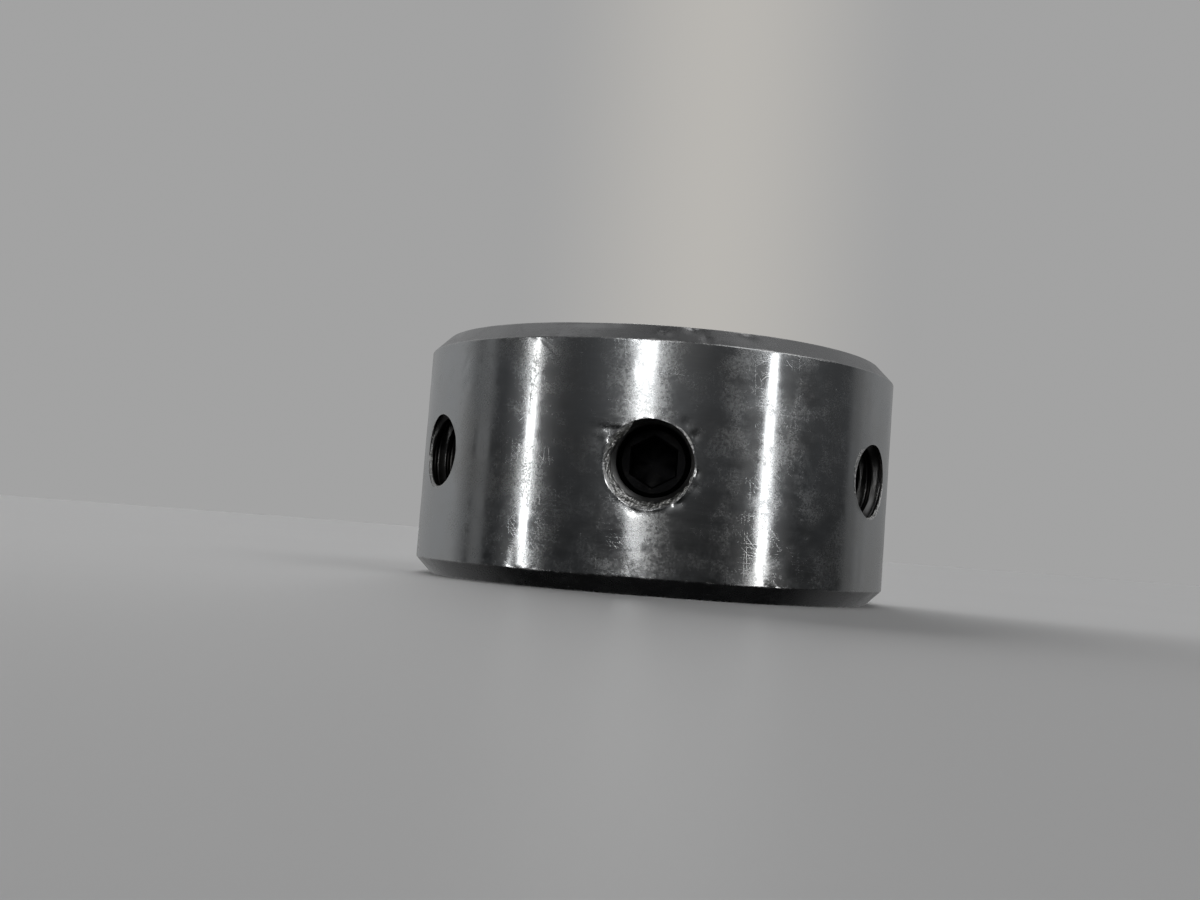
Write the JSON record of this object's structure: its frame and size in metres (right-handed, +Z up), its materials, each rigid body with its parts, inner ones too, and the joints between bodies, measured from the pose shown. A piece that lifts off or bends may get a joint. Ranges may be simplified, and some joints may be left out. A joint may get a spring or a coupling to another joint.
{
  "type": "shaft collar",
  "caption": "Thick bright steel shaft collar with radial tapped holes at mid-height; socket set screws press soft brass pads against the shaft.",
  "frame": {"origin": "centre of the bore at the bottom end face, on which the collar stands", "axes": "+Z up along the bore; -Y points out through hole 1, and the holes are numbered anticlockwise seen from above"},
  "size_m": [0.036, 0.036, 0.018],
  "materials": {
    "bright_steel": "turned and polished, bright, with fine scratches and smudges",
    "black_steel": "black oxide, lightly oiled",
    "brass": "plain cut brass, dull"
  },
  "bodies": {
    "collar": {"collar": "bright_steel"},
    "pad_1": {"brass_pad_1": "brass"},
    "pad_2": {"brass_pad_2": "brass"},
    "pad_3": {"brass_pad_3": "brass"},
    "pad_4": {"brass_pad_4": "brass"},
    "pad_5": {"brass_pad_5": "brass"},
    "pad_6": {"brass_pad_6": "brass"},
    "screw_1": {"set_screw_1": "black_steel"},
    "screw_2": {"set_screw_2": "black_steel"},
    "screw_3": {"set_screw_3": "black_steel"},
    "screw_4": {"set_screw_4": "black_steel"},
    "screw_5": {"set_screw_5": "black_steel"},
    "screw_6": {"set_screw_6": "black_steel"}
  },
  "joints": [
    {"name": "pad_1_travel", "type": "slide", "parent": "collar", "child": "pad_1", "axis": [0, -1, 0], "range_m": [-0.0015, 0.003]},
    {"name": "screw_1_turn", "type": "hinge", "parent": "pad_1", "child": "screw_1", "pos_m": [0, -0.0123, 0.009], "axis": [0, -1, 0], "range_deg": [-540, 1080]},
    {"name": "pad_2_travel", "type": "slide", "parent": "collar", "child": "pad_2", "axis": [0.866, -0.5, 0], "range_m": [-0.0015, 0.003]},
    {"name": "screw_2_turn", "type": "hinge", "parent": "pad_2", "child": "screw_2", "pos_m": [0.01065, -0.00615, 0.009], "axis": [0.866, -0.5, 0], "range_deg": [-540, 1080]},
    {"name": "pad_3_travel", "type": "slide", "parent": "collar", "child": "pad_3", "axis": [0.866, 0.5, 0], "range_m": [-0.0015, 0.003]},
    {"name": "screw_3_turn", "type": "hinge", "parent": "pad_3", "child": "screw_3", "pos_m": [0.01065, 0.00615, 0.009], "axis": [0.866, 0.5, 0], "range_deg": [-540, 1080]},
    {"name": "pad_4_travel", "type": "slide", "parent": "collar", "child": "pad_4", "axis": [0, 1, 0], "range_m": [-0.0015, 0.003]},
    {"name": "screw_4_turn", "type": "hinge", "parent": "pad_4", "child": "screw_4", "pos_m": [0, 0.0123, 0.009], "axis": [0, 1, 0], "range_deg": [-540, 1080]},
    {"name": "pad_5_travel", "type": "slide", "parent": "collar", "child": "pad_5", "axis": [-0.866, 0.5, 0], "range_m": [-0.0015, 0.003]},
    {"name": "screw_5_turn", "type": "hinge", "parent": "pad_5", "child": "screw_5", "pos_m": [-0.01065, 0.00615, 0.009], "axis": [-0.866, 0.5, 0], "range_deg": [-540, 1080]},
    {"name": "pad_6_travel", "type": "slide", "parent": "collar", "child": "pad_6", "axis": [-0.866, -0.5, 0], "range_m": [-0.0015, 0.003]},
    {"name": "screw_6_turn", "type": "hinge", "parent": "pad_6", "child": "screw_6", "pos_m": [-0.01065, -0.00615, 0.009], "axis": [-0.866, -0.5, 0], "range_deg": [-540, 1080]}
  ],
  "couplings": [
    {"joint": "screw_1_turn", "follows": "pad_1_travel", "rad_per_m": 6283.2},
    {"joint": "screw_2_turn", "follows": "pad_2_travel", "rad_per_m": 6283.2},
    {"joint": "screw_3_turn", "follows": "pad_3_travel", "rad_per_m": 6283.2},
    {"joint": "screw_4_turn", "follows": "pad_4_travel", "rad_per_m": 6283.2},
    {"joint": "screw_5_turn", "follows": "pad_5_travel", "rad_per_m": 6283.2},
    {"joint": "screw_6_turn", "follows": "pad_6_travel", "rad_per_m": 6283.2}
  ]
}
